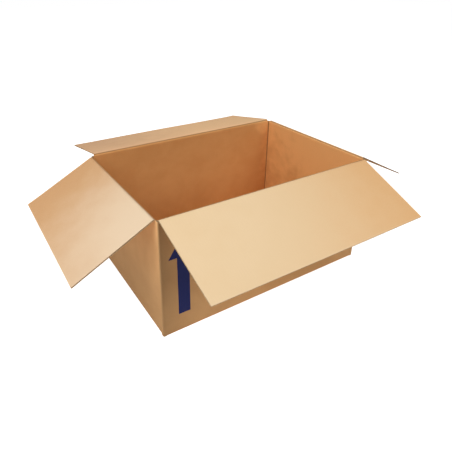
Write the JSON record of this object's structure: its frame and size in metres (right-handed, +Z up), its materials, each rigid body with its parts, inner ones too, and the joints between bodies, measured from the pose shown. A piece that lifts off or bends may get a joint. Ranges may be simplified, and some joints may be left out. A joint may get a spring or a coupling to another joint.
{
  "type": "open shipping box",
  "caption": "Open corrugated cardboard shipping box with closed glued bottom, hinged top flaps hanging outwards and a plain upright arrow printed on one long side.",
  "frame": {"origin": "middle of the box's floor area, on the surface it stands on", "axes": "+X along the long side, +Y from the printed front wall to the back wall, +Z up"},
  "size_m": [0.9541, 0.7758, 0.3023],
  "materials": {
    "kraft_board": "matte",
    "print_ink": "matte"
  },
  "bodies": {
    "box": {"box_body": "kraft_board", "printed_arrow": "print_ink"},
    "front_flap": {"flap_front": "kraft_board"},
    "back_flap": {"flap_back": "kraft_board"},
    "left_flap": {"flap_left": "kraft_board"},
    "right_flap": {"flap_right": "kraft_board"}
  },
  "joints": [
    {"name": "front_flap_fold", "type": "hinge", "parent": "box", "child": "front_flap", "pos_m": [0, -0.2, 0.3], "axis": [-1, 0, 0], "range_deg": [-61, 205]},
    {"name": "back_flap_fold", "type": "hinge", "parent": "box", "child": "back_flap", "pos_m": [0, 0.2, 0.3], "axis": [1, 0, 0], "range_deg": [-75, 190.7]},
    {"name": "left_flap_fold", "type": "hinge", "parent": "box", "child": "left_flap", "pos_m": [-0.3, 0, 0.2967], "axis": [0, 1, 0], "range_deg": [-57.5, 208.2]},
    {"name": "right_flap_fold", "type": "hinge", "parent": "box", "child": "right_flap", "pos_m": [0.3, 0, 0.2967], "axis": [0, -1, 0], "range_deg": [-59, 206.7]}
  ]
}
